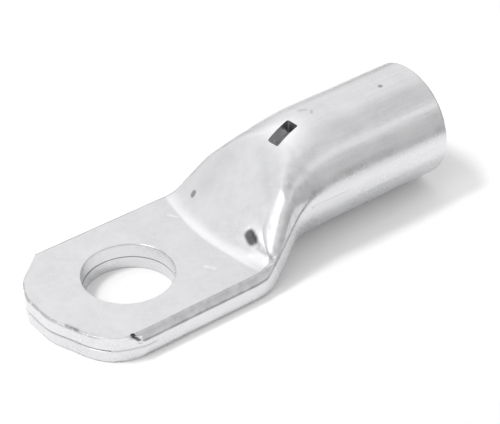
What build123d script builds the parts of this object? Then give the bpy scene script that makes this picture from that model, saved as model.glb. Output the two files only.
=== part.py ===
"""Tube cable lug: one length of seamless copper tube, flattened at one end to a palm with a stud hole.

Millimetres. The origin is where the axis of the stud hole meets the underside of the palm.
+X runs along the barrel to its open mouth, +Z points up out of the palm.
"""
import os
from math import atan2, cos, pi, radians, sin, sqrt, tan

from build123d import *

# The tube that the lug is pressed from
tube_diameter = 17.5
tube_wall = 2.0
barrel_end = 50.4
mouth_outer_chamfer = 0.3
mouth_inner_chamfer = 0.45

# The palm, two layers of tube wall pressed together
palm_thickness = 4.2
palm_edge_radius = 0.8
layer_gap = 0.1
layer_gap_drop = 0.2
palm_end_radius = 13.9
corner_facet_start = 5.4
corner_facet_angle = 47.0
stud_hole_diameter = 13.0
stud_hole_edge_radius = 0.4

# The pressed transition: the top line climbs from the bend to the crest of the barrel
bend_x = 13.4
bend_radius = 2.5
climb_angle = 43.4
crest_radius = 15.3

# Its shoulders start later than its middle, so the bend line is curved, and climb more steeply.
# They stay a little lower than the middle, and that crown runs out toward the crest.
shoulder_delay = 3.4
shoulder_angle = 58.6
crown_depth = 0.4
crown_length = 12.0

# Its sides draw in from the palm's width to the tube's
side_delay = 3.4
side_angle = 24.5
side_radius = 1.5
side_barrel_radius = 6.0

# Where the small edge radii of the palm have grown to the roundness of the tube
low_round_length = 9.0
high_round_length = 11.2
high_round_power = 1.55

# The ridges between the climbing top and its flanks are rounded from their start just past the bend
ridge_radius = 1.8
ridge_lead = 0.8
ridge_length = 2.6

# The inspection slot through the upper wall
slot_delay = 11.7
slot_length = 3.7
slot_width = 2.25
slot_corner_radius = 0.3

# The parting crease along both sides, left where the two dies met, and the side's lean above it
crease_depth = 0.15
crease_rise = 0.18
crease_palm_share = 0.7
crease_barrel_share = 0.62
crease_fade = 4.0
side_lean = 18.0
lean_length = 9.0

# The pressing dimples just above the bend, one nearer the middle than the other
dimple_x_delay = 3.1
dimple_spreads = (7.3, -5.5)
dimple_ball_radius = 1.6
dimple_depth = 0.3

tube_radius = tube_diameter / 2
bore_radius = tube_radius - tube_wall
stud_hole_radius = stud_hole_diameter / 2

# Pressing a tube flat bends its outline and doesn't stretch it, which gives the palm's width
tube_outline = pi * tube_diameter
palm_half_width = (tube_outline - 2 * palm_thickness + (8 - 2 * pi) * palm_edge_radius) / 4
gap_middle = palm_thickness / 2 - layer_gap_drop
lower_layer = gap_middle - layer_gap / 2
upper_layer = palm_thickness - gap_middle - layer_gap / 2

# A section is never quite a circle before the barrel, so that its eight edges keep a length
least_flat = 0.12
most_round = tube_radius - least_flat
bore_flat = 0.1
gap_corner = layer_gap * 0.4


def climb(x, corner_x, angle, first_radius, last_radius, rise):
    """Height of a straight climb with a round at its foot and at its top, zero before it."""
    reach = first_radius * tan(radians(angle) / 2)
    top_reach = last_radius * tan(radians(angle) / 2)
    top_x = corner_x + rise / tan(radians(angle))
    if x <= corner_x - reach:
        return 0.0
    if x < corner_x + reach * cos(radians(angle)):
        return first_radius - sqrt(first_radius**2 - (x - corner_x + reach) ** 2)
    if x >= top_x + top_reach:
        return rise
    if x > top_x - top_reach * cos(radians(angle)):
        return rise - last_radius + sqrt(last_radius**2 - (top_x + top_reach - x) ** 2)
    return (x - corner_x) * tan(radians(angle))


def share(x, start, length, power=1.0):
    """0 before start, 1 past start + length."""
    return min(max((x - start) / length, 0.0), 1.0) ** power


rise = tube_diameter - palm_thickness
side_x = bend_x + side_delay
shoulder_x = bend_x + shoulder_delay
palm_reach = bend_radius * tan(radians(climb_angle) / 2)
palm_x = bend_x - palm_reach
crest_x = bend_x + rise / tan(radians(climb_angle))
barrel_x = crest_x + crest_radius * tan(radians(climb_angle) / 2)


def middle_top(x):
    return palm_thickness + climb(x, bend_x, climb_angle, bend_radius, crest_radius, rise)


def shoulder_top(x):
    steep = palm_thickness + climb(x, shoulder_x, shoulder_angle, bend_radius, crest_radius, rise)
    crown = crown_depth * (1 - share(x, side_x, crown_length))
    return min(steep, max(middle_top(x) - crown, palm_thickness))


def half_width(x):
    draw = palm_half_width - tube_radius
    return palm_half_width - climb(x, side_x, side_angle, side_radius, side_barrel_radius, draw)


def low_share(x):
    even = share(x, side_x, low_round_length)
    return even**2 * (3 - 2 * even)


def high_share(x):
    return share(x, side_x, high_round_length, high_round_power)


def ring(x, half, low, middle, shoulder, low_radius, high_radius):
    """A flattened tube's outline across X: flat below, rounded corners, and a top that may be crowned or dished."""
    low_flat = half - low_radius
    high_flat = half - high_radius
    turn = sin(pi / 4)

    def point(y, z):
        return Vector(x, y, z)

    def side(s):
        low_mid = point(s * (low_flat + low_radius * turn), low + low_radius * (1 - turn))
        high_mid = point(s * (high_flat + high_radius * turn), shoulder - high_radius * (1 - turn))
        return [
            ThreePointArc(point(s * low_flat, low), low_mid, point(s * half, low + low_radius)),
            Line(point(s * half, low + low_radius), point(s * half, shoulder - high_radius)),
            ThreePointArc(point(s * half, shoulder - high_radius), high_mid, point(s * high_flat, shoulder)),
        ]

    left, right = point(-high_flat, shoulder), point(high_flat, shoulder)
    if abs(middle - shoulder) > 0.001:
        top = ThreePointArc(right, point(0, middle), left)
    else:
        top = Line(right, left)
    bottom = Line(point(-low_flat, low), point(low_flat, low))
    return Wire([bottom, *side(1), top, *side(-1)])


def round_ring(x, radius, flat):
    """The tube's own circle, cut into the same eight edges as every other section."""
    lean = atan2(flat, radius)

    def point(angle):
        return Vector(x, radius * sin(angle), tube_radius - radius * cos(angle))

    def arc(a, b):
        return ThreePointArc(point(a), point((a + b) / 2), point(b))

    corners = [k * pi / 2 + s * lean for k in range(4) for s in (-1, 1)]
    spans = list(zip(corners, corners[1:] + [corners[0] + 2 * pi]))
    return Wire([arc(a, b) for a, b in spans])


def low_round(x):
    return palm_edge_radius + (most_round - palm_edge_radius) * low_share(x)


def ridge_round(x):
    even = share(x, side_x - ridge_lead, ridge_length)
    return ridge_radius * even**2 * (3 - 2 * even)


def high_round(x):
    """Radius of the shoulder, never more than the side has room for."""
    radius = palm_edge_radius + (most_round - palm_edge_radius) * high_share(x)
    return min(max(radius, ridge_round(x)), shoulder_top(x) - low_round(x) - 2 * least_flat)


def outer_ring(x):
    return ring(x, half_width(x), 0, middle_top(x), shoulder_top(x), low_round(x), high_round(x))


def inner_ring(x):
    """The inside of the tube: the gap between the palm's layers, opening out to the bore."""
    floor = lower_layer + (tube_wall - lower_layer) * low_share(x)
    roof = upper_layer + (tube_wall - upper_layer) * low_share(x)
    middle = middle_top(x) - roof
    shoulder = shoulder_top(x) - roof
    low_radius = gap_corner + (bore_radius - bore_flat - gap_corner) * low_share(x)
    high_radius = gap_corner + (bore_radius - bore_flat - gap_corner) * high_share(x)
    room = (shoulder - floor) * 0.98
    ease = min(1.0, room / (low_radius + high_radius))
    return ring(x, half_width(x) - tube_wall, floor, middle, shoulder, low_radius * ease, high_radius * ease)


def stations(body_count):
    """Where sections are taken: close together round the bend, wider along the crest."""
    foot = [palm_x, palm_x + 0.5, bend_x + 0.3, bend_x + 1.0, side_x - 0.6, side_x, side_x + 0.6, side_x + 1.4]
    body_start = side_x + 2.6
    step = (barrel_x - body_start) / body_count
    return foot + [body_start + step * k for k in range(body_count)]


def outer_transition():
    rings = [outer_ring(x) for x in stations(8)]
    return Solid.make_loft(rings + [round_ring(barrel_x, tube_radius, least_flat)])


def inner_transition():
    """Straight from section to section, for nobody sees the inside of the bend."""
    rings = [inner_ring(x) for x in stations(12)]
    return Solid.make_loft(rings + [round_ring(barrel_x, bore_radius, bore_flat)], ruled=True)


def along_x(start, end, radius):
    """A round bar along the tube's axis."""
    plane = Plane(origin=(start, 0, tube_radius), x_dir=(0, 1, 0), z_dir=(1, 0, 0))
    return extrude(plane * Circle(radius), end - start)


def palm_bar(make_ring, start):
    return extrude(Face(make_ring(palm_x)), start - palm_x, dir=(1, 0, 0))


def palm_plan():
    """The palm seen from above: straight sides, a facet at each corner and an end round the stud hole."""
    angle = radians(corner_facet_angle)
    facet_x, facet_y = -palm_end_radius * cos(angle), palm_end_radius * sin(angle)
    margin = 1.0
    wide = palm_half_width + margin
    slope = (facet_y - palm_half_width) / (facet_x + corner_facet_start)
    wide_x = -corner_facet_start + margin / slope
    lines = [
        Line((palm_x, -wide), (palm_x, wide)),
        Line((palm_x, wide), (wide_x, wide)),
        Line((wide_x, wide), (facet_x, facet_y)),
        ThreePointArc((facet_x, facet_y), (-palm_end_radius, 0), (facet_x, -facet_y)),
        Line((facet_x, -facet_y), (wide_x, -wide)),
        Line((wide_x, -wide), (palm_x, -wide)),
    ]
    return extrude(Face(Wire(lines)), palm_thickness)


def solid_tube():
    palm = palm_bar(outer_ring, -palm_end_radius - 1) & palm_plan()
    barrel = along_x(barrel_x, barrel_end, tube_radius)
    mouth = barrel.faces().sort_by(Axis.X)[-1]
    barrel = chamfer(mouth.edges(), mouth_outer_chamfer)
    return palm + outer_transition() + barrel


def tube_inside():
    gap = palm_bar(inner_ring, -palm_end_radius - 2)
    bore = along_x(barrel_x, barrel_end + 1, bore_radius)
    flare_plane = Plane(origin=(barrel_end - mouth_inner_chamfer, 0, tube_radius), z_dir=(1, 0, 0))
    flare = flare_plane * Cone(
        bore_radius, bore_radius + 2 * mouth_inner_chamfer, 2 * mouth_inner_chamfer,
        align=(Align.CENTER, Align.CENTER, Align.MIN),
    )
    return [gap, inner_transition(), bore, flare]


def stud_hole():
    return extrude(Circle(stud_hole_radius), palm_thickness * 2, both=True)


def inspection_slot():
    middle_x = bend_x + slot_delay + slot_length / 2
    outline = RectangleRounded(slot_length, slot_width, slot_corner_radius)
    return extrude(Plane(origin=(middle_x, 0, tube_radius)) * outline, tube_radius * 2)


def crease_height(x):
    palm_level = palm_thickness * crease_palm_share
    barrel_level = tube_diameter * crease_barrel_share
    return palm_level + (barrel_level - palm_level) * share(x, side_x, low_round_length)


def crease_side(x):
    """How far out the lug's side stands at the height of the crease."""
    above = crease_height(x) - (shoulder_top(x) - high_round(x))
    if above <= 0:
        return half_width(x)
    return half_width(x) - high_round(x) + sqrt(high_round(x) ** 2 - above**2)


def crease_cutter():
    """A cutter that follows one side: a step at the crease, and the lean of the side above it.

    It rises clear of the side on the barrel, where the crease fades out.
    """
    fade_x = side_x + low_round_length
    xs = [-palm_end_radius, side_x - 1.0, side_x + 0.5, side_x + 2.0, side_x + 4.0, side_x + 6.0, fade_x]
    xs.append(fade_x + crease_fade)
    wires = []
    for x in xs:
        lift = 2 * crease_depth * share(x, fade_x - crease_fade, 2 * crease_fade)
        tip = crease_side(x) - crease_depth + lift
        z = crease_height(x)
        top = shoulder_top(x) + 1.0
        lean = tan(radians(side_lean)) * (1 - share(x, side_x, lean_length))
        outside = tip + 2.0
        wires.append(Wire(Polyline(
            (x, tip, z),
            (x, outside, z - crease_rise * 2.0 / crease_depth),
            (x, outside, top),
            (x, tip - lean * (top - z), top),
            close=True,
        )))
    return Solid.make_loft(wires, ruled=True)


def dimple(y):
    x = bend_x + dimple_x_delay
    surface = middle_top(x) + (shoulder_top(x) - middle_top(x)) * (y / half_width(x)) ** 2
    lift = dimple_ball_radius - dimple_depth
    lean = radians(climb_angle)
    return Pos(x - lift * sin(lean), y, surface + lift * cos(lean)) * Sphere(dimple_ball_radius)


def tube_lug():
    lug = solid_tube()
    for cavity in tube_inside():
        lug = lug - cavity
    lug = lug - stud_hole() - inspection_slot()
    crease = crease_cutter()
    lug = lug - crease - mirror(crease, Plane.XZ)
    for y in dimple_spreads:
        lug = lug - dimple(y)
    top_rim = lug.edges().filter_by(GeomType.CIRCLE).filter_by(
        lambda e: abs(e.radius - stud_hole_radius) < 0.001 and abs(e.center().Z - palm_thickness) < 0.001
    )
    return fillet(top_rim, stud_hole_edge_radius)


os.makedirs("parts", exist_ok=True)
part = tube_lug()
export_step(part, "parts/tube_lug.step")
print("solids", len(part.solids()), "volume", round(part.volume, 1), "valid", part.is_valid)
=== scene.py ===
# %% [markdown]
# # A tube cable lug, dressed
# A cable lug is one length of copper tube. One end stays round and takes the bared cable, the
# other is pressed flat into a palm and punched for a stud, and the whole is plated with tin.
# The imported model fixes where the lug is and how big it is, so it is loaded before anything else.

# %% Load the frame
from math import cos, pi, radians, sin, sqrt, tan

import bpy
from mathutils import Matrix, Vector


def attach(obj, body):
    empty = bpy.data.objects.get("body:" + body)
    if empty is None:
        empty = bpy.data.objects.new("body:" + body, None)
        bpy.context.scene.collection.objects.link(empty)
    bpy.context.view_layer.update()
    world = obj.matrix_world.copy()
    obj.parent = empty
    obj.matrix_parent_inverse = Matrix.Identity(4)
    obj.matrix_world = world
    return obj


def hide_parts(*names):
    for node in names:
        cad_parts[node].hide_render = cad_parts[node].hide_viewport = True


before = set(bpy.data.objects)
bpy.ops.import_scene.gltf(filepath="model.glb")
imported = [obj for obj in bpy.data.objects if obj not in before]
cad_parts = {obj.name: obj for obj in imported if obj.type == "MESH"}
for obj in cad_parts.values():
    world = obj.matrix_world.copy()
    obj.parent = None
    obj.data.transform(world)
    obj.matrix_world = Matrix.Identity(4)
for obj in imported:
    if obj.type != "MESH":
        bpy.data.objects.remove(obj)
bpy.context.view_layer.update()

# %% [markdown]
# ## Sums written as Python
# A node tree is easier to read as a formula than as a list of links. This class wraps one output
# socket, so that `1 - mask` or `a * b + c` adds the Math nodes for it. Geometry Nodes and shaders
# share the same Math node, so the lug's form and its finish are both written with this class.

# %% One class for all the trees
class Value:
    """An output socket that can stand in a Python expression."""

    tree = None

    def __init__(self, socket):
        self.socket = socket

    @classmethod
    def node(cls, kind, settings=None, inputs=None, output=0):
        """Add any node: its settings first, then the values or links of its sockets."""
        made = cls.tree.nodes.new(kind)
        for name, setting in (settings or {}).items():
            setattr(made, name, setting)
        for key, value in (inputs or {}).items():
            cls.feed(made.inputs[key], value)
        return cls(made.outputs[output])

    @classmethod
    def feed(cls, target, value):
        if isinstance(value, Value):
            cls.tree.links.new(value.socket, target)
        else:
            target.default_value = value

    def __add__(self, other):
        return maths("ADD", self, other)

    def __radd__(self, other):
        return maths("ADD", other, self)

    def __sub__(self, other):
        return maths("SUBTRACT", self, other)

    def __rsub__(self, other):
        return maths("SUBTRACT", other, self)

    def __mul__(self, other):
        return maths("MULTIPLY", self, other)

    def __rmul__(self, other):
        return maths("MULTIPLY", other, self)

    def __truediv__(self, other):
        return maths("DIVIDE", self, other)

    def __rtruediv__(self, other):
        return maths("DIVIDE", other, self)

    def __neg__(self):
        return maths("MULTIPLY", self, -1.0)


def maths(operation, *values):
    return Value.node("ShaderNodeMath", {"operation": operation}, dict(enumerate(values)))


print("one class stands for every socket")

# %% [markdown]
# ## Limits, bells and soft steps
# A pressed part is made of stretches that start and stop: a climb begins at the bend, a dent fades
# out. Four kinds of curve are enough for that. `share` runs straight from 0 to 1, `smooth` softens
# its two ends, `rise` is a soft step between two values, and `bell` is high in one place and fades
# to both sides.

# %% Curves
def least(a, b):
    return maths("MINIMUM", a, b)


def most(a, b):
    return maths("MAXIMUM", a, b)


def between(value, low, high):
    return least(most(value, low), high)


def root(value):
    return maths("SQRT", most(value, 0.0))


def share(x, start, length):
    """How much of a stretch has been walked, from 0 to 1."""
    return between((x - start) / length, 0.0, 1.0)


def smooth(value):
    """A straight 0 to 1 turned into a soft start and a soft stop."""
    held = between(value, 0.0, 1.0)
    return held * held * (3.0 - 2.0 * held)


def rise(value, zero_at, one_at):
    """A soft step from 0 at one value to 1 at another, which may be the smaller of the two."""
    return smooth((value - zero_at) / (one_at - zero_at))


def bell(value, width):
    """1 at zero, about a third at one width, and near nothing at two."""
    ratio = value / width
    return maths("EXPONENT", -(ratio * ratio))


print("curves are ready: share, smooth, rise and bell")

# %% [markdown]
# ## Places, noise and distances
# Knocks and stains sit on the lug as short strokes, each from one place to another. Painting them
# by hand would need a picture wrapped round the lug. A distance to a line needs only two points,
# and it serves both the dents in the mesh and the stains in the finish.

# %% Places
def split(vector):
    node = Value.node("ShaderNodeSeparateXYZ", None, {0: vector}).socket.node
    return [Value(output) for output in node.outputs]


def joined(x, y, z):
    return Value.node("ShaderNodeCombineXYZ", None, {0: x, 1: y, 2: z})


def noise(place, scale, detail):
    inputs = {"Vector": place, "Scale": scale, "Detail": detail}
    return Value.node("ShaderNodeTexNoise", None, inputs)


def along_segment(x, y, z, start, end, wide_start, wide_end):
    """How near a point is to a line between two places: a bell whose width may change."""
    line = [b - a for a, b in zip(start, end)]
    length_squared = sum(v * v for v in line)
    gaps = [x - start[0], y - start[1], z - start[2]]
    if length_squared == 0:
        width = wide_start
    else:
        walked = gaps[0] * line[0] + gaps[1] * line[1] + gaps[2] * line[2]
        part = between(walked / length_squared, 0.0, 1.0)
        width = wide_start + part * (wide_end - wide_start)
        gaps = [gap - part * v for gap, v in zip(gaps, line)]
    far = root(gaps[0] * gaps[0] + gaps[1] * gaps[1] + gaps[2] * gaps[2])
    return bell(far, width)


print("places, noise and distances are ready")

# %% [markdown]
# ## The sizes of the lug
# Pressing bends the tube's outline without stretching it. Every section across the lug is
# therefore the same loop in another shape: a flat below, a low corner, a side, a high corner and
# a top. A modelled block would need each section drawn. Here a few rules change the loop along the
# lug, and these are the sizes that the rules take. Lengths are in millimetres. The near side is
# the one where y is below zero.

# %% Sizes
sizes = {
    "tube diameter": 17.5,
    "tube wall": 2.0,
    "barrel end": 50.4,
    "palm thickness": 4.2,
    "palm edge radius": 0.8,
    "top edge radius": 0.35,
    "palm end reach": 13.9,
    "near end radius": 13.9,
    "far end radius": 14.4,
    "worn depth": 0.55,
    "worn place": -5.0,
    "worn width": 2.8,
    "layer gap": 0.1,
    "layer gap drop": 0.2,
    "bend place": 13.4,
    "bend radius": 4.4,
    "bend curve": 0.024,
    "bend curve middle": 1.2,
    "near bend growth": 0.3,
    "near bend growth start": -4.0,
    "near bend growth length": 6.0,
    "climb angle": radians(44.9),
    "crest radius": 13.5,
    "shoulder angle": radians(60.6),
    "shoulder place": 11.0,
    "foot blend": 0.6,
    "crown depth": 0.5,
    "crown length": 12.0,
    "side delay": 1.8,
    "side angle": radians(22.0),
    "side radius": 13.5,
    "side barrel radius": 5.4,
    "low round length": 11.0,
    "high round length": 11.6,
    "high round power": 1.9,
    "near ridge radius": 3.0,
    "far ridge radius": 1.9,
    "ridge delay": 0.2,
    "ridge length": 2.6,
    "near side lean": radians(22.0),
    "far side lean": radians(12.4),
    "lean delay": 1.8,
    "lean length": 9.0,
    "near facet start": 5.4,
    "near facet angle": radians(51.0),
    "far facet start": 7.4,
    "far facet angle": radians(42.5),
    "crease depth": 0.12,
    "crease width": 0.13,
    "crease step": 0.08,
    "crease step width": 0.2,
    "crease fade lead": 2.0,
    "crease fade length": 5.0,
}


def palm_half(s):
    """Half the palm's width: what is left of the tube's outline after two thicknesses."""
    outline = s["tube diameter"] * pi
    edge_saving = (8 - 2 * pi) * s["palm edge radius"]
    return (outline - 2.0 * s["palm thickness"] + edge_saving) / 4.0


print(len(sizes), "named sizes, palm width", round(2 * palm_half(sizes), 2), "mm")

# %% [markdown]
# ## One sheet wrapped round the whole wall
# The wall of a tube is a ring in two directions: round the tube, and along it from the mouth over
# the outside to the palm's end, and back inside to the mouth. One grid can follow both, and its
# squares then run along the lug, so that highlights stay smooth. Its rows travel through the legs
# listed here, and its columns go round the section. Each leg says how many rows it takes, where
# along the lug it ends, and how deep in the wall it lies.

# %% The path of the rows
mouth_outer_break = 0.3
mouth_inner_break = 0.45
end_break = 0.12
seam_break = 0.15
bend_half = tan(sizes["climb angle"] / 2)
palm_start = sizes["bend place"] - sizes["bend radius"] * bend_half
palm_end = -sizes["palm end reach"]
crest_rise = sizes["tube diameter"] - sizes["palm thickness"]
crest_corner = sizes["bend place"] + crest_rise / tan(sizes["climb angle"])
barrel_start = crest_corner + sizes["crest radius"] * bend_half
barrel_end = sizes["barrel end"]
outer_lip = mouth_outer_break / sizes["tube wall"]
inner_lip = 1 - mouth_inner_break / sizes["tube wall"]
path_start = (barrel_end - mouth_outer_break, 0.0)
legs = [
    (44, barrel_start, 0.0),
    (112, palm_start, 0.0),
    (72, palm_end + end_break, 0.0),
    (3, palm_end, 0.05),
    (12, palm_end, 0.94),
    (2, palm_end + seam_break, 1.0),
    (24, palm_start, 1.0),
    (40, barrel_start, 1.0),
    (12, barrel_end - mouth_inner_break, 1.0),
    (2, barrel_end, inner_lip),
    (5, barrel_end, outer_lip),
    (2, path_start[0], 0.0),
]
row_count = sum(leg[0] for leg in legs)


def along_path(row, which):
    """The place (0) or the depth (1) of a row: the start plus each leg's change in turn."""
    value, last, done = path_start[which], path_start[which], 0
    for leg in legs:
        rows, target = leg[0], leg[which + 1]
        if target != last:
            value = value + (target - last) * share(row, float(done), float(rows))
        last, done = target, done + rows
    return value


print(row_count, "rows: barrel from x", round(barrel_start, 2), "palm to x", round(palm_start, 2))

# %% [markdown]
# ## The walk round a section
# Half a section is walked in five parts, from the middle of the underside to the middle of the
# top, and the other half is its mirror. Equal steps all round would be simpler, but the bend line
# and the ridges lie on the top and on the high corner. So each part has its own count of columns,
# and most of them go where the form is.

# %% The walk round a section
around = {"bottom": 12, "low corner": 16, "side": 32, "high corner": 22, "top": 42}
half_columns = sum(around.values())


def around_parts(turn):
    """How far each part of the half section has been walked, from 0 to 1."""
    parts, done = [], 0
    for count in around.values():
        parts.append(share(turn * half_columns, float(done), float(count)))
        done += count
    return parts


print(2 * half_columns, "columns,", 2 * row_count * half_columns, "quads")

# %% [markdown]
# ## How the top climbs
# Seen from the side, the upper wall leaves the palm in a bend, rises straight, and rounds over
# into the barrel. A curve object could follow that line, but the climb isn't the same across the
# lug: away from the middle it starts later and is steeper, which is what gives the bend its bow
# and the crown its two shoulders. A formula with x and y in it says that directly.

# %% The climb
def sided(hand, near, far):
    """One value on the near side of the lug, where hand is -1, and another on the far side."""
    return (far + near) / 2.0 + hand * ((far - near) / 2.0)


def climb(x, corner, angle, foot_radius, crest_radius, rise):
    """A straight climb with a round at its foot and one at its crest, as a sum of three parts."""
    half = maths("TANGENT", angle / 2.0)
    sine = maths("SINE", angle)
    slope = maths("TANGENT", angle)
    foot = corner - foot_radius * half
    foot_run = foot_radius * sine
    crest_run = crest_radius * sine
    crest = corner + rise / slope + crest_radius * half - crest_run
    low = between(x - foot, 0.0, foot_run)
    high = crest_run - between(x - crest, 0.0, crest_run)
    straight = between(x - foot - foot_run, 0.0, crest - foot - foot_run)
    rounded_foot = foot_radius - root(foot_radius * foot_radius - low * low)
    rounded_crest = root(crest_radius * crest_radius - high * high)
    crest_start = crest_radius * maths("COSINE", angle)
    return rounded_foot + straight * slope + rounded_crest - crest_start


def top_height(s, x, y, hand):
    """Height of the pressed top: the farther from the middle, the later and steeper it climbs."""
    rise = s["tube diameter"] - s["palm thickness"]
    out = y / s["shoulder place"]
    spread = least(out * out, 1.0)
    aside = y * hand - s["bend curve middle"]
    lag = s["bend curve"] * aside * aside
    angle = s["climb angle"] + (s["shoulder angle"] - s["climb angle"]) * spread
    near_part = (s["near bend growth start"] - y * hand) / s["near bend growth length"]
    foot_radius = s["bend radius"] * (1.0 + s["near bend growth"] * smooth(near_part))
    steep = climb(x - lag, s["bend place"], angle, foot_radius, s["crest radius"], rise)
    even = climb(
        x, s["bend place"], s["climb angle"], s["bend radius"], s["crest radius"], rise
    )
    side_x = s["bend place"] + s["side delay"]
    crown = s["crown depth"] * (1.0 - share(x, side_x, s["crown length"])) * spread
    blended = maths("SMOOTH_MIN", steep, most(even - crown, 0.0), s["foot blend"])
    # The last factor keeps the palm dead flat up to the bend
    return s["palm thickness"] + most(blended, 0.0) * smooth(even * 5.0)


print("the top climbs", round(crest_rise, 1), "mm")

# %% [markdown]
# ## The palm's end
# The end is sheared to an arc round the stud hole, and its two corners are cropped to facets that
# aren't alike. The near part of the arc is worn. Cutting the shape out of a longer palm would
# leave ragged squares along the cut, so the outline is a formula, and the rows are stretched to
# meet it.

# %% The outline of the palm
def palm_reach_at(s, y, hand, half_width):
    """How far the palm reaches from the stud hole's axis: an arc, and a facet at each corner."""
    start = sided(hand, s["near facet start"], s["far facet start"])
    angle = sided(hand, s["near facet angle"], s["far facet angle"])
    facet_x = s["palm end reach"] * maths("COSINE", angle)
    facet_y = s["palm end reach"] * maths("SINE", angle)
    facet = start + (half_width - y) * (facet_x - start) / (half_width - facet_y)
    radius = sided(hand, s["near end radius"], s["far end radius"])
    arc = least(root(radius * radius - y * y), s["palm end reach"])
    worn = s["worn depth"] * bell(y * hand - s["worn place"], s["worn width"])
    return least(arc - worn, facet)


print("the palm's end is", sizes["palm end reach"], "mm from the hole's axis")

# %% [markdown]
# ## The loop at each row
# At the palm the loop is flat, with small corners. At the barrel it is a circle, which is the same
# loop with corners as large as half the tube. In between, the corners grow while the sides draw
# in. The inside of the tube follows with smaller corners, until its two walls all but touch and
# leave the thin gap that shows at the palm's end.

# %% The numbers of the loop
gap_corner_share = 0.4


def loop_sizes(s, x, depth, hand, outside):
    """Half width, floor, roof and the two corner radii of the loop."""
    tube_radius = s["tube diameter"] / 2.0
    edge = s["palm edge radius"]
    half_width = palm_half(s)
    gap_middle = s["palm thickness"] / 2.0 - s["layer gap drop"]
    side_x = s["bend place"] + s["side delay"]

    low_share = smooth(share(x, side_x, s["low round length"]))
    high_share = maths("POWER", share(x, side_x, s["high round length"]), s["high round power"])
    draw = half_width - tube_radius
    side_draw = climb(x, side_x, s["side angle"], s["side radius"], s["side barrel radius"], draw)
    low_layer = gap_middle - s["layer gap"] / 2.0
    high_layer = s["palm thickness"] - gap_middle - s["layer gap"] / 2.0
    floor = (low_layer + (s["tube wall"] - low_layer) * low_share) * depth
    roof = (high_layer + (s["tube wall"] - high_layer) * low_share) * depth
    half = half_width - side_draw - s["tube wall"] * depth

    gap_corner = s["layer gap"] * gap_corner_share
    low_edge = edge + (gap_corner - edge) * depth
    high_edge = s["top edge radius"] + (gap_corner - s["top edge radius"]) * depth
    full_round = tube_radius - s["tube wall"] * depth
    low_radius = low_edge + (full_round - low_edge) * low_share
    high_radius = high_edge + (full_round - high_edge) * high_share
    ridge = sided(hand, s["near ridge radius"], s["far ridge radius"])
    ridge = ridge * smooth(share(x, side_x + s["ridge delay"], s["ridge length"])) * outside
    high_radius = most(high_radius, ridge)
    # Both corners have to fit into the height of the side
    side_room = top_height(s, x, half, hand) - roof - floor
    high_radius = least(high_radius, side_room - low_radius)
    low_radius = least(low_radius, side_room - high_radius)
    return half, floor, roof, low_radius, high_radius


print("the corners grow from", sizes["palm edge radius"], "to", sizes["tube diameter"] / 2, "mm")

# %% [markdown]
# ## The crease along the side
# The two halves of the press meet along the side of the lug and leave a fine crease there. Above
# it the flank leans inward. Both are too small for a separate cut, so they shift the side of the
# loop. Their masks are kept for the finish, which paints shade into the crease and onto the flank.

# %% The crease and the lean
# The crease's height, as a share of the palm's thickness and of the tube's diameter
crease_at_palm = 0.7
crease_at_barrel = 0.62
crease_shade_width = 0.2
upper_side_fade = 0.3


def side_shift(s, x, z, side, high_turn, top, hand, outside):
    """How far the side leans and the crease cuts in, with the masks of the flank."""
    side_x = s["bend place"] + s["side delay"]
    crease_low = s["palm thickness"] * crease_at_palm
    crease_high = s["tube diameter"] * crease_at_barrel
    crease_share = share(x, side_x, s["low round length"])
    above = z - (crease_low + (crease_high - crease_low) * crease_share)
    lean_share = share(x, side_x + s["lean delay"], s["lean length"])
    lean_share = (1.0 - lean_share) * outside * (1.0 - top)
    lean_angle = sided(hand, s["near side lean"], s["far side lean"])
    lean = maths("TANGENT", lean_angle) * most(above, 0.0) * lean_share
    fade_start = side_x + s["low round length"] - s["crease fade lead"]
    crease_fade = 1.0 - smooth(share(x, fade_start, s["crease fade length"]))
    # The flank is the side of the loop and the start of the corner above it
    flank = most(side, high_turn * 0.5) * between(1.0 - high_turn * 1.2, 0.0, 1.0)
    flank = between(flank * 8.0, 0.0, 1.0) * crease_fade * outside
    cut = s["crease depth"] * bell(above, s["crease width"])
    groove = (cut + s["crease step"] * smooth(above / s["crease step width"])) * flank
    # Masks for the painted shade in the crease and on the flank above it
    masks = {
        "crease line": flank * bell(above, crease_shade_width),
        "upper side": flank * smooth(above / upper_side_fade),
    }
    return lean, groove, masks


print("the crease is", sizes["crease depth"], "mm deep")

# %% [markdown]
# ## The closed wall
# The grid starts flat. Each point reads its row and its column, walks round the loop that belongs
# to that row, and is set down there. Merge by Distance then sews the sheet's edges together,
# which leaves one closed wall.

# %% The wall of the pressed tube
weld_distance = 0.0004
skin_end, skin_fade = 0.8, 0.1


def grid_of(rows, across, columns):
    """A flat grid, with the row and the place across it as fields."""
    counts = {"Vertices X": rows + 1, "Vertices Y": columns + 1}
    grid = Value.node(
        "GeometryNodeMeshGrid", None, {"Size X": float(rows), "Size Y": across, **counts}
    )
    grid_x, grid_y, _ = split(Value.node("GeometryNodeInputPosition"))
    return grid, grid_x + rows / 2, grid_y


def set_down(grid, place):
    """Move every point of a grid to its place, and sew the edges that meet."""
    shaped = Value.node("GeometryNodeSetPosition", None, {"Geometry": grid, "Position": place})
    weld = {"Geometry": shaped, "Distance": weld_distance}
    return Value.node("GeometryNodeMergeByDistance", None, weld)


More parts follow.
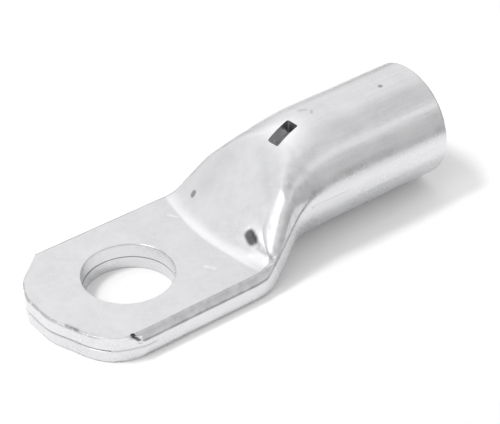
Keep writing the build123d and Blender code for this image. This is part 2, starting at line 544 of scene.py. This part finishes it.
def tube_wall_mesh(s):
    """The closed wall of the lug before punching, in millimetres."""
    grid, row, across = grid_of(row_count, 2.0, 2 * half_columns)
    turn = maths("ABSOLUTE", across)
    hand = maths("SIGN", across)
    x = along_path(row, 0)
    depth = along_path(row, 1)
    # 1 on the outer face, and 0 from a twentieth of the wall's depth inward
    outside = 1.0 - between(depth * 20.0, 0.0, 1.0)

    half, floor, roof, low_radius, high_radius = loop_sizes(s, x, depth, hand, outside)
    low_flat = half - low_radius
    high_flat = half - high_radius
    shoulder = top_height(s, x, high_flat, hand) - roof
    bottom, low_turn, side, high_turn, top = around_parts(turn)
    low_angle = low_turn * (pi / 2)
    high_angle = high_turn * (pi / 2)
    z = (
        floor
        + low_radius * (1.0 - maths("COSINE", low_angle))
        + (shoulder - high_radius - floor - low_radius) * side
        + high_radius * maths("SINE", high_angle)
    )
    lean, groove, masks = side_shift(s, x, z, side, high_turn, top, hand, outside)
    y = (
        low_flat * bottom
        + low_radius * maths("SINE", low_angle)
        - high_radius * (1.0 - maths("COSINE", high_angle))
        - high_flat * top
        - lean
        - groove
    )
    top_y = high_flat * (1.0 - top)
    top_z = top_height(s, x, top_y, hand) - roof - shoulder
    z = z + top_z * maths("GREATER_THAN", top, 0.0)

    # Past the bend the rows are stretched to the palm's own outline
    palm_length = palm_start + s["palm end reach"]
    past_bend = between(palm_start - x, 0.0, 100.0)
    reach = palm_reach_at(s, y, hand, palm_half(s))
    x = x + past_bend * (1.0 - (palm_start + reach) / palm_length)

    marked = grid
    masks = {"skin": 1.0 - share(depth, skin_end, skin_fade), **masks}
    for name, field in masks.items():
        inputs = {"Geometry": marked, "Name": name, "Value": field}
        marked = Value.node("GeometryNodeStoreNamedAttribute", None, inputs)
    return set_down(marked, joined(x, y * hand, z))


print("the wall is one sheet of", row_count, "by", 2 * half_columns, "squares")

# %% [markdown]
# ## The two punches
# The stud hole is punched through both layers, and the punch draws the upper edge in, so that rim
# is rounded. The inspection slot goes through the upper wall only. A cut through a wall is what
# Mesh Boolean does best. Each punch is a small closed grid of its own, turned round an axis by a
# formula, and is a little longer than the wall that it goes through.

# %% A punch from its profile
def turned(profile, columns, make_place):
    """A closed solid from a profile of (radius, height), set down by make_place."""
    grid, row, across = grid_of(len(profile) - 1, 1.0, columns)
    radius, height = profile[0]
    for k, (before, after) in enumerate(zip(profile, profile[1:])):
        step = share(row, float(k), 1.0)
        radius = radius + (after[0] - before[0]) * step
        height = height + (after[1] - before[1]) * step
    angle = (across + 0.5 + 0.5 / columns) * (-2 * pi)
    return set_down(grid, make_place(radius, height, angle))


print("a punch is a profile turned round an axis")

# %% The stud hole
stud_hole_radius = 6.5
rim_round = 0.25
rim_steps = 6
stud_columns = 144
punch_below = 2.0
punch_above = 3.0


def stud_punch():
    top = sizes["palm thickness"]
    arc = [radians(90 / rim_steps * k) for k in range(rim_steps + 1)]
    rim = [
        (stud_hole_radius + rim_round * (1 - cos(a)), top - rim_round + rim_round * sin(a))
        for a in arc
    ]
    foot = [(0.0, -punch_below), (stud_hole_radius, -punch_below)]
    head = [(rim[-1][0], top + punch_above), (0.0, top + punch_above)]

    def place(radius, height, angle):
        return joined(radius * maths("COSINE", angle), radius * maths("SINE", angle), height)

    return turned([*foot, *rim, *head], stud_columns, place)


print("stud hole", 2 * stud_hole_radius, "mm across")

# %% The inspection slot
slot_delay = 11.45
slot_length = 3.85
slot_width = 2.15
slot_shift = -0.15
slot_turn = radians(4.0)
slot_corner = 0.25
slot_columns = 24
slot_punch_height = 2.2


def slot_punch():
    middle_x = sizes["bend place"] + slot_delay + slot_length / 2
    low = sizes["tube diameter"] / 2
    high = slot_punch_height * low
    profile = [(0.0, low), (1.0, low), (1.0, high), (0.0, high)]

    def place(radius, height, angle):
        cosine, sine = maths("COSINE", angle), maths("SINE", angle)
        half_x, half_y = slot_length / 2 - slot_corner, slot_width / 2 - slot_corner
        x = (maths("SIGN", cosine) * half_x + cosine * slot_corner) * radius
        y = (maths("SIGN", sine) * half_y + sine * slot_corner) * radius
        turned_x = x * cos(slot_turn) - y * sin(slot_turn)
        turned_y = x * sin(slot_turn) + y * cos(slot_turn)
        return joined(middle_x + turned_x, turned_y + slot_shift, height)

    return turned(profile, slot_columns, place)


print("slot", slot_length, "by", slot_width, "mm")

# %% [markdown]
# ## Dents that the press and the drum leave
# The press leaves a small pit at each end of the bend and a pinched fold from the near pit to the
# corner. The shears tear the near corner of the palm a little. Plating in a tumbling drum leaves
# knocks and a faint waviness. Sculpting would give them by hand. They are set by numbers instead,
# because the points can then move inward along their normals in the same tree, as real shape.

# %% Dents, folds and waviness
# Each stroke: where it starts and ends, its width at both, and its depth, all in mm
pits = {
    "far pit": ((15.9, 7.0, 6.2), (16.2, 7.0, 6.6), 0.4, 0.4, 0.12),
    "near pit": ((16.5, -5.8, 6.3), (16.3, -6.5, 6.1), 0.45, 0.45, 0.35),
    "barrel pit": ((43.8, -0.9, 17.45), (43.8, -0.9, 17.45), 0.35, 0.35, 0.25),
}
folds = {
    "pinched fold": ((16.2, -7.2, 5.6), (17.0, -10.6, 5.0), 0.5, 0.4, 0.3),
    "palm knock": ((9.0, -5.5, 4.2), (10.1, -6.3, 4.2), 0.25, 0.25, 0.06),
    "palm knock beside": ((10.8, -4.2, 4.2), (12.3, -5.3, 4.2), 0.3, 0.3, 0.05),
    "far palm knock": ((11.9, 7.2, 4.2), (12.3, 6.5, 4.2), 0.22, 0.22, 0.05),
}
torn_corner = ((-6.9, -11.3, 4.05), (-5.9, -11.7, 2.75), 0.25, 0.25, 0.35)
tear_way = (0.45, 0.85, -0.25)
wave_scale, wave_height = 0.16, 0.06
ripple_scale, ripple_height = 0.6, 0.02
crumple_place, crumple_reach = (-8.6, -10.6, 2.4), 2.3
crumple_scale, crumple_height, crumple_start = 1.1, 0.3, 0.3


def dented(mesh):
    """Push the outer skin in along its normals, and tear the near corner sideways."""
    position = Value.node("GeometryNodeInputPosition")
    x, y, z = split(position)
    waves = noise(position, wave_scale, 2.0) * wave_height
    push = waves + noise(position, ripple_scale, 3.0) * ripple_height
    for start, end, wide_start, wide_end, depth in [*pits.values(), *folds.values()]:
        push = push + along_segment(x, y, z, start, end, wide_start, wide_end) * depth
    corner = along_segment(
        x, y, z, crumple_place, crumple_place, crumple_reach, crumple_reach
    )
    ragged = most(noise(position, crumple_scale, 2.0) - crumple_start, 0.0)
    push = push + corner * crumple_height * ragged
    skin = Value.node("GeometryNodeInputNamedAttribute", None, {"Name": "skin"})
    normal = Value.node("GeometryNodeInputNormal")
    scaled = {0: normal, "Scale": -push * skin}
    offset = Value.node("ShaderNodeVectorMath", {"operation": "SCALE"}, scaled)
    pushed = Value.node("GeometryNodeSetPosition", None, {"Geometry": mesh, "Offset": offset})
    start, end, wide_start, wide_end, depth = torn_corner
    tear = along_segment(x, y, z, start, end, wide_start, wide_end) * depth * skin
    tear_offset = joined(tear * tear_way[0], tear * tear_way[1], tear * tear_way[2])
    torn = {"Geometry": pushed, "Offset": tear_offset}
    return Value.node("GeometryNodeSetPosition", None, torn)


print(len(pits), "pits and", len(folds), "folds and knocks")

# %% [markdown]
# ## Put the tree together
# The named sizes become inputs of the tree, so that each can be changed in Blender and the lug
# follows. The tree makes the wall, dents it, punches it, turns millimetres into metres, and ends
# in Realize Instances and Set Material, because what is exported has to be plain mesh.

# %% The lug's tree
tin = bpy.data.materials.new("tin_plate_on_copper")


def named_inputs(tree, values):
    """Give a tree one input for each named size, and return them as values."""
    for name, value in values.items():
        entry = tree.interface.new_socket(name=name, in_out="INPUT", socket_type="NodeSocketFloat")
        entry.default_value = value
    group_input = tree.nodes.new("NodeGroupInput")
    return {name: Value(group_input.outputs[name]) for name in values}


def lug_tree():
    tree = bpy.data.node_groups.new("pressed_tube", "GeometryNodeTree")
    Value.tree = tree
    tree.interface.new_socket(name="Geometry", in_out="OUTPUT", socket_type="NodeSocketGeometry")
    s = named_inputs(tree, sizes)
    wall = dented(tube_wall_mesh(s))
    cut = {"operation": "DIFFERENCE", "solver": "EXACT"}
    boolean = Value.node("GeometryNodeMeshBoolean", cut, {"Mesh 1": wall})
    for punch in (stud_punch(), slot_punch()):
        tree.links.new(punch.socket, boolean.socket.node.inputs["Mesh 2"])
    in_metres = {"Geometry": boolean, "Scale": (0.001, 0.001, 0.001)}
    metres = Value.node("GeometryNodeTransform", None, in_metres)
    smooth_faces = Value.node("GeometryNodeSetShadeSmooth", None, {"Geometry": metres})
    real = Value.node("GeometryNodeRealizeInstances", None, {"Geometry": smooth_faces})
    coated = Value.node("GeometryNodeSetMaterial", None, {"Geometry": real, "Material": tin})
    tree.links.new(coated.socket, tree.nodes.new("NodeGroupOutput").inputs[0])
    print(tree.name, "has", len(tree.nodes), "nodes")
    return tree


pressed_tube = lug_tree()

# %% [markdown]
# ## Read the mesh
# The tree runs once on an empty object, and its result is kept as a plain mesh, so that what is
# exported is the lug itself and not the recipe. Edges sharper than 30 degrees, as round the slot,
# are marked sharp, and the rest is shaded smooth. A wall without a leak has no edge that belongs
# to one face alone, so those edges are counted.

# %% Make the lug
sharp_angle = radians(30)


def set_inputs(modifier, values):
    """Set a modifier's inputs by their identifiers."""
    for item in modifier.node_group.interface.items_tree:
        if item.in_out == "INPUT" and item.name in values:
            modifier[item.identifier] = values[item.name]


def plain_mesh(name, tree, values):
    """Run a tree on an empty object and keep only the mesh that it makes."""
    holder = bpy.data.objects.new(name, bpy.data.meshes.new(name + "_empty"))
    bpy.context.scene.collection.objects.link(holder)
    modifier = holder.modifiers.new("form", "NODES")
    modifier.node_group = tree
    set_inputs(modifier, values)
    depsgraph = bpy.context.evaluated_depsgraph_get()
    mesh = bpy.data.meshes.new_from_object(holder.evaluated_get(depsgraph))
    holder.modifiers.remove(modifier)
    mesh.name = name
    holder.data = mesh
    return holder


def open_edges(mesh):
    uses = {}
    for polygon in mesh.polygons:
        for key in polygon.edge_keys:
            uses[key] = uses.get(key, 0) + 1
    return sum(1 for count in uses.values() if count == 1)


lug = plain_mesh("tinned_lug", pressed_tube, sizes)
lug.data.set_sharp_from_angle(angle=sharp_angle)
print("lug faces", len(lug.data.polygons), "open edges", open_edges(lug.data))
corners = [Vector(c) * 1000 for c in lug.bound_box]
print("lug box in mm", [round(v, 2) for v in corners[0]], [round(v, 2) for v in corners[6]])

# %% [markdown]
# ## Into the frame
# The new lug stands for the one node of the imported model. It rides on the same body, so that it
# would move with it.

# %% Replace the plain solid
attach(lug, "root")
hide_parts("tube_lug")
print("the lug rides on root")

# %% [markdown]
# ## Stains, bright spots and painted light
# Tin dulls where it is scratched or where dirt is held, and shines where something has rubbed it.
# Some strokes are painted light instead: painted shade on the crown, by the pinched fold and
# beside the near pit, and a painted highlight at the near end of the bend. A painted picture could
# hold all of that, but it would need a map of the lug and would blur close up.
# These strokes use the same two places and two widths as the dents. The last number says how dark
# the stroke is, and below zero it is brighter than the tin.

# %% Marks on the tin
marks = {
    "near corner": ((-8.9, -10.9, 4.0), (-8.9, -10.9, 3.0), 0.2, 0.2, 0.15),
    "far corner": ((-10.1, 9.9, 4.1), (-10.1, 9.9, 4.1), 0.25, 0.25, 0.4),
    "far corner top": ((-8.6, 11.3, 4.1), (-8.6, 11.3, 4.1), 0.2, 0.2, 0.4),
    "end blotch": ((-12.6, -4.2, 4.15), (-12.0, -5.8, 4.15), 0.25, 0.3, 0.3),
    # Painted shade on the crown's far facet
    "crown shade": ((17.3, 5.9, 7.9), (20.6, 4.4, 11.3), 1.5, 1.9, 0.07),
    "streak": ((23.6, 0.5, 14.1), (20.2, -5.5, 10.6), 0.7, 0.7, 0.05),
    # Painted shade along the pinched fold, beside the near pit and in the fold line
    "fold shade": ((16.3, -7.8, 5.4), (17.1, -10.8, 4.9), 0.3, 0.22, 0.3),
    "pit shade": ((18.2, -5.9, 8.6), (16.9, -7.6, 6.0), 0.75, 0.55, 0.16),
    "fold line": ((16.8, -9.3, 5.45), (17.2, -11.0, 5.0), 0.12, 0.12, 0.5),
    "slot scuff": ((31.0, 1.5, 17.25), (31.7, 0.9, 17.33), 0.3, 0.25, 0.24),
    "crest scuff": ((31.2, 2.6, 17.3), (30.7, 3.5, 17.0), 0.4, 0.6, 0.18),
    "near scuff": ((31.8, -0.3, 17.3), (32.2, 0.2, 17.33), 0.2, 0.2, 0.26),
    "near speck": ((31.5, -2.9, 17.1), (31.9, -3.3, 17.1), 0.18, 0.18, 0.24),
    # A painted highlight at the near end of the bend
    "painted bend highlight": ((15.3, -7.8, 4.45), (16.2, -10.6, 4.45), 0.45, 0.8, -0.24),
    "bright knock": ((9.1, -5.4, 4.2), (9.9, -6.6, 4.2), 0.22, 0.22, -0.22),
    "far bright knock": ((11.9, 7.6, 4.2), (12.6, 6.2, 4.2), 0.2, 0.2, -0.16),
}
# Painted shade in the pits and in the torn corner: where it starts and ends, its one width, and how
# dark it is
painted_hollow_shade = {
    "far pit": ((15.9, 7.0, 6.2), (16.1, 7.0, 6.4), 0.5, 0.55),
    "near pit": ((16.5, -5.8, 6.3), (16.3, -6.5, 6.1), 1.0, 0.78),
    "barrel pit": ((43.9, -0.9, 17.3), (43.9, -0.9, 17.3), 0.42, 0.5),
    "torn corner": ((-6.75, -11.15, 4.0), (-6.0, -11.45, 3.1), 0.33, 0.72),
}
spot_edge, spot_full = 0.22, 0.72


def scuffs_and_painted_light(x, y, z):
    """All the marks together."""
    total = 0.0
    for start, end, wide_start, wide_end, strength in marks.values():
        total = along_segment(x, y, z, start, end, wide_start, wide_end) * strength + total
    return total


def shaded_hollows(x, y, z, ragged):
    """Painted shade in the pits and the torn corner, with a ragged edge."""
    total = 0.0
    for start, end, width, strength in painted_hollow_shade.values():
        spot = along_segment(x, y, z, start, end, width, width) * (0.75 + ragged * 0.5)
        total = rise(spot, spot_edge, spot_full) * strength + total
    return total


print(len(marks), "marks and", len(painted_hollow_shade), "dark spots")

# %% [markdown]
# ## Dirt and painted shade along the edges
# Some marks follow the lug's own lines: dirt by the sheared edge of the end and in the seam between
# the layers, painted shade in the crease and a painted dark reflection on the rim of the mouth.
# Strokes would have to trace them. The sizes of the lug say where those lines are, so the masks
# are worked out from them, and the two masks that the mesh stores are read back as attributes.

# %% The sheared edge and the rim
palm_top = sizes["palm thickness"]
palm_half_width = palm_half(sizes)
line_inset, line_width, line_rag = 0.1, 0.13, 0.1
line_side, line_stop, line_fade = 10.4, 4.0, 1.5
rim_start, rim_width = barrel_end - mouth_inner_break, 0.15
rim_height, rim_fade = 9.0, 3.0


def end_line(x, y, z, ragged):
    """The broken dark line just inside the sheared edge of the palm's end."""
    wide = maths("ABSOLUTE", y)
    inside = x + palm_reach_at(sizes, wide, maths("SIGN", y), palm_half_width)
    line = bell(inside - line_inset, line_width + line_rag * ragged)
    line = line * rise(z, palm_top - 0.6, palm_top - 0.3)
    line = line * rise(wide, line_side, line_side - line_fade)
    line = line * rise(x, palm_end + line_stop, palm_end + line_stop - line_fade)
    return line * rise(ragged, 0.33, 0.48)


def rim_painted_reflection(x, z, ragged):
    """A painted dark reflection on the upper part of the mouth's rim, in patches."""
    rim = rise(x, rim_start, rim_start + rim_width) * rise(z, rim_height, rim_height + rim_fade)
    return rim * rise(ragged, 0.3, 0.5)


# The rim's mark is a painted dark reflection
print("the rim's painted reflection starts at x", round(rim_start, 2), "mm")

# %% [markdown]
# ## The seam, and painted shade on the sides
# The thin gap between the palm's layers looks dark where it is open, most of all in the stud hole
# toward the palm's end. Painted shade darkens the crease and, in patches, the side above it. One
# noise, `ragged`, breaks all of these lines up, so that none of them looks ruled.

# %% The seam and the sides
seam_height = sizes["palm thickness"] / 2 - sizes["layer gap drop"]
hole_seam_width, end_seam_width = 0.2, 0.15
hole_seam_least, hole_seam_more = 0.04, 0.5
end_seam_dark = 0.3
crease_dark = 0.5
side_least, side_more = 0.09, 0.5


def stored(name):
    """Read a mask that the mesh carries."""
    return Value.node("ShaderNodeAttribute", {"attribute_name": name}, None, "Fac")


def seam(x, y, z):
    """The seam between the layers: in the hole, darker toward the end, and at the end itself."""
    from_hole = root(x * x + y * y)
    in_hole = rise(from_hole, stud_hole_radius + 0.7, stud_hole_radius + 0.4)
    in_hole = in_hole * (hole_seam_least + hole_seam_more * rise(x, 1.0, -4.0))
    at_end = rise(from_hole, 9.0, 10.0) * rise(x, -3.0, -4.0) * end_seam_dark
    up = z - seam_height
    return bell(up, hole_seam_width) * in_hole + bell(up, end_seam_width) * at_end


def side_painted_shade(ragged):
    """Painted shade in the crease, and a patchy painted shade on the side above it."""
    crease = stored("crease line") * crease_dark * (0.3 + ragged * 1.2)
    return crease + stored("upper side") * (side_least + side_more * most(ragged - 0.4, 0.0))


print("the seam lies at z", round(seam_height, 2), "mm")

# %% [markdown]
# ## All of it together
# Each kind of dirt, painted shade and painted highlight is a mask from 0 to 1 with its own
# strength, and the strengths are added. The sum is held between two limits, so that a bright mark
# never mirrors more than it gets and no spot is blacker than the darkest mark itself.

# %% All that darkens the tin
ragged_scale, speck_scale = 0.8, 3.2
# The middle one of these sets how dark the painted reflection on the rim is
end_line_dark, rim_reflection_dark, speck_dark = 0.36, 0.5, 0.05
brightest, darkest = -0.3, 0.95


# Dirt, painted shade and painted highlights, added up
def tarnish_and_painted_light(x, y, z, place):
    """The share of its level that the tin loses at a place, or gains where it is below zero."""
    ragged = noise(place, ragged_scale, 4.0)
    specks = rise(noise(place, speck_scale, 2.0), 0.62, 0.72)
    total = end_line(x, y, z, ragged) * end_line_dark + rim_painted_reflection(x, z, ragged) * rim_reflection_dark
    total = total + side_painted_shade(ragged) + seam(x, y, z) + shaded_hollows(x, y, z, ragged)
    total = total + scuffs_and_painted_light(x, y, z) * (0.6 + ragged * 0.8) + specks * speck_dark
    return between(total, brightest, darkest)


print("tarnish runs from", brightest, "to", darkest)

# %% [markdown]
# ## Tin plate
# The plate is a thin electroplated coat over copper, bright but dulled by handling. It is all
# metal, so its look comes from what it reflects and how sharply. A picture of worn metal would
# bring someone else's scratches with it. Three noises do it here: broad clouds, a fine grain, and
# lines drawn along the barrel, as the tube's own drawing leaves them.

# %% The finish
tin_level, tin_roughness = 0.73, 0.29
cloud_scale, cloud_tone, cloud_rough = 0.22, 0.12, 0.16
grain_scale, grain_tone, grain_rough = 0.9, 0.06, 0.12
drawn_along, drawn_across, drawn_tone, drawn_relief = 0.1, 1.6, 0.10, 0.8
barrel_lines_start, barrel_lines_full = 24.0, 32.0
darkening_rough = 0.3
bump_height = 0.00002


def tin_finish(material):
    material.use_nodes = True
    tree = material.node_tree
    Value.tree = tree
    shader = tree.nodes["Principled BSDF"]
    shader.inputs["Metallic"].default_value = 1.0
    metres = Value.node("ShaderNodeTexCoord", output="Object")
    in_mm = {0: metres, "Scale": 1000.0}
    place = Value.node("ShaderNodeVectorMath", {"operation": "SCALE"}, in_mm)
    x, y, z = split(place)
    cloud = noise(place, cloud_scale, 3.0)
    grain = noise(place, grain_scale, 2.0)
    drawn_place = joined(x * drawn_along, y * drawn_across, z * drawn_across)
    drawn = noise(drawn_place, 1.0, 4.0)
    on_barrel = rise(x, barrel_lines_start, barrel_lines_full)
    dark = tarnish_and_painted_light(x, y, z, place)
    level = tin_level + (cloud - 0.5) * cloud_tone + (grain - 0.5) * grain_tone
    level = level + (drawn - 0.5) * drawn_tone * on_barrel
    # Dirt and painted shade darken the tin, painted highlights lighten it
    level = level * (1.0 - dark)
    # Tin is a trace bluer than grey
    cool = {0: level, 1: level, 2: level * 1.012 + 0.004}
    Value.feed(shader.inputs["Base Color"], Value.node("ShaderNodeCombineColor", None, cool))
    rough = tin_roughness + (cloud - 0.5) * cloud_rough + (grain - 0.5) * grain_rough
    rough = between(rough + dark * darkening_rough, 0.12, 0.8)
    Value.feed(shader.inputs["Roughness"], rough)
    height = grain + drawn * on_barrel * drawn_relief
    relief = {"Height": height, "Strength": 1.0, "Distance": bump_height}
    Value.feed(shader.inputs["Normal"], Value.node("ShaderNodeBump", None, relief))
    print(material.name, "has", len(tree.nodes), "nodes")


tin_finish(tin)

# %% [markdown]
# ## Camera
# The picture looks down on the lug from the palm's side, through a long lens. Setting the camera
# by eye would never bring the lug's edges into line with the picture. These angles were fitted to
# its outline, with the focal length counted in pixels of the picture and turned into millimetres
# of a 36 mm sensor here.

# %% Camera
view_azimuth = radians(-35.93)
view_elevation = radians(36.64)
view_roll = radians(-1.53)
view_distance = 0.26643
view_target = Vector((0.024717, 0.005294, 0.0))
focal_pixels = 1818.7
picture_width = 500
sensor_width = 36.0


def camera_matrix():
    """Look at the target from the distance, along the azimuth and elevation, rolled a little."""
    back = Vector((
        sin(view_azimuth) * cos(view_elevation),
        -cos(view_azimuth) * cos(view_elevation),
        sin(view_elevation),
    ))
    right = (-back).cross(Vector((0, 0, 1))).normalized()
    up = right.cross(-back)
    turned_right = cos(view_roll) * right + sin(view_roll) * up
    turned_up = cos(view_roll) * up - sin(view_roll) * right
    matrix = Matrix((turned_right, turned_up, back)).transposed().to_4x4()
    matrix.translation = view_target + view_distance * back
    return matrix


lens = bpy.data.cameras.new("camera")
lens.sensor_fit = "HORIZONTAL"
lens.sensor_width = sensor_width
lens.lens = focal_pixels * sensor_width / picture_width
camera = bpy.data.objects.new("camera", lens)
camera.matrix_world = camera_matrix()
bpy.context.scene.collection.objects.link(camera)
bpy.context.scene.camera = camera
print("lens in mm", round(lens.lens, 1))

# %% [markdown]
# ## Floor
# The lug lies on a white sheet that is no larger than the picture needs. A brighter lamp would
# make the sheet white, but the tin with it. The sheet's own colour does it instead, with a small
# glow that only the camera and reflections see, so that the shadow stays.

# %% Floor
sheet_low = (-0.075, -0.047)
sheet_high = (0.092, 0.150)
sheet_drop = 0.00005
sheet_level = 0.82
sheet_glow = 0.03


def seen_by(kind):
    """1 for the rays of one kind, and 0 for the others."""
    return Value.node("ShaderNodeLightPath", output=f"Is {kind} Ray")


floor_mesh = bpy.data.meshes.new("floor")
sheet_corners = [
    (sheet_low[0], sheet_low[1], 0.0),
    (sheet_high[0], sheet_low[1], 0.0),
    (sheet_high[0], sheet_high[1], 0.0),
    (sheet_low[0], sheet_high[1], 0.0),
]
floor_mesh.from_pydata(sheet_corners, [], [(0, 1, 2, 3)])
floor = bpy.data.objects.new("floor", floor_mesh)
floor.location.z = -sheet_drop
bpy.context.scene.collection.objects.link(floor)
paper = bpy.data.materials.new("white_sheet")
paper.use_nodes = True
paper_shader = paper.node_tree.nodes["Principled BSDF"]
paper_shader.inputs["Base Color"].default_value = (sheet_level, sheet_level, sheet_level, 1)
paper_shader.inputs["Roughness"].default_value = 0.9
paper_shader.inputs["Emission Strength"].default_value = 1.0
Value.tree = paper.node_tree
glow = (seen_by("Camera") + seen_by("Glossy") + seen_by("Transmission")) * sheet_glow
glow_colour = Value.node("ShaderNodeCombineColor", None, {0: glow, 1: glow, 2: glow})
Value.feed(paper_shader.inputs["Emission Color"], glow_colour)
floor_mesh.materials.append(paper)
print("the sheet is", round(sheet_high[0] - sheet_low[0], 3), "m long")

# %% [markdown]
# ## World
# Metal shows the room that it stands in. The light bands on the barrel, the bright ridge and the
# dark flank are reflections of softboxes and of the wall between them. Area lamps would show as
# hard discs in tin as bright as this. The room is a formula of the direction instead: a pale
# level, a strip low on the near side, light from above and behind, a bright arch over the palm's
# end, and two round softboxes. The camera itself sees plain white.

# %% World
room_level = 0.74
below_floor = 0.42
# Turns in degrees: where the strip is, and where each soft step begins and ends
strip_turn, strip_width, strip_light = 44.0, 5.5, 0.55
wall_top, wall_foot, wall_shade = (34.0, 26.0), (-60.0, -50.0), 0.07
top_edge, top_light = (94.0, 106.0), 0.24
# The arch: directions along x, y and z, and its light by the barrel and at the palm's end
arch_start, arch_bright, arch_foot = (0.15, -0.10), (-0.45, -0.80), (0.15, 0.35)
arch_side, arch_width = -0.08, 0.18
arch_dim, arch_light = 0.1, 2.9
# Each softbox: its direction, its width in degrees and its light
softboxes = [
    ((-0.05, 0.65, 0.76), 16.0, 0.5),
    ((0.00, -0.02, 1.00), 19.0, 0.36),
]


def room_light(way):
    """How bright each direction is. The turn is 0 level on the near side and 90 straight up."""
    way_x, way_y, way_z = split(way)
    turn = maths("ARCTAN2", way_z, -way_y) * (180 / pi)
    near_strip = bell(turn - strip_turn, strip_width) * strip_light
    dark_wall = rise(turn, *wall_top) * rise(turn, *wall_foot) * wall_shade
    above = rise(turn, *top_edge) * top_light
    arch = rise(way_x, *arch_start) * bell(way_y - arch_side, arch_width)
    arch = arch * rise(way_z, *arch_foot)
    arch = arch * (arch_dim + arch_light * rise(way_x, *arch_bright))
    level = room_level + near_strip + above - dark_wall + arch
    for (x, y, z), width, strength in softboxes:
        lead = sqrt(x * x + y * y + z * z)
        away = way_x * (x / lead) + way_y * (y / lead) + way_z * (z / lead)
        angle = maths("ARCCOSINE", least(away, 1.0))
        level = level + bell(angle, radians(width)) * strength
    below = rise(way_z, 0.0, -0.02)
    return level * (1.0 - below) + below_floor * below


world = bpy.data.worlds.new("pale_room")
bpy.context.scene.world = world
world.use_nodes = True
Value.tree = world.node_tree
room = room_light(Value.node("ShaderNodeTexCoord", output="Generated"))
seen = seen_by("Camera")
level = room * (1.0 - seen) + seen
background = world.node_tree.nodes["Background"]
room_colour = Value.node("ShaderNodeCombineColor", None, {0: level, 1: level, 2: level})
Value.feed(background.inputs["Color"], room_colour)
background.inputs["Strength"].default_value = 1.0
print("the room has", len(softboxes), "softboxes and", len(world.node_tree.nodes), "nodes")

# %% [markdown]
# ## Lamp
# The shadow falls past the barrel's mouth and toward the near side, so one small round lamp
# stands high over the palm's end, a little to the far side. The world alone would leave a shadow
# without a side. The lamp is hidden from glossy rays, because the tin would show it as a spot.

# %% Lamp
key_way = Vector((-0.38, 0.24, 0.90)).normalized()
key_target = Vector((0.02, 0, 0))
key_distance = 0.6
key_size = 0.12
key_watts = 1.5
key_data = bpy.data.lights.new("key", "AREA")
key_data.shape = "DISK"
key_data.size = key_size
key_data.energy = key_watts
key = bpy.data.objects.new("key", key_data)
key.visible_glossy = False
aim = key_way.to_track_quat("Z", "Y").to_matrix().to_4x4()
key.matrix_world = Matrix.Translation(key_target + key_way * key_distance) @ aim
bpy.context.scene.collection.objects.link(key)
print("key lamp at", [round(v, 2) for v in key.matrix_world.translation], "m,", key_watts, "W")

# %% [markdown]
# ## Finish
# The Standard view shows each colour about as it is written.

# %% Finish
bpy.context.scene.view_settings.view_transform = "Standard"
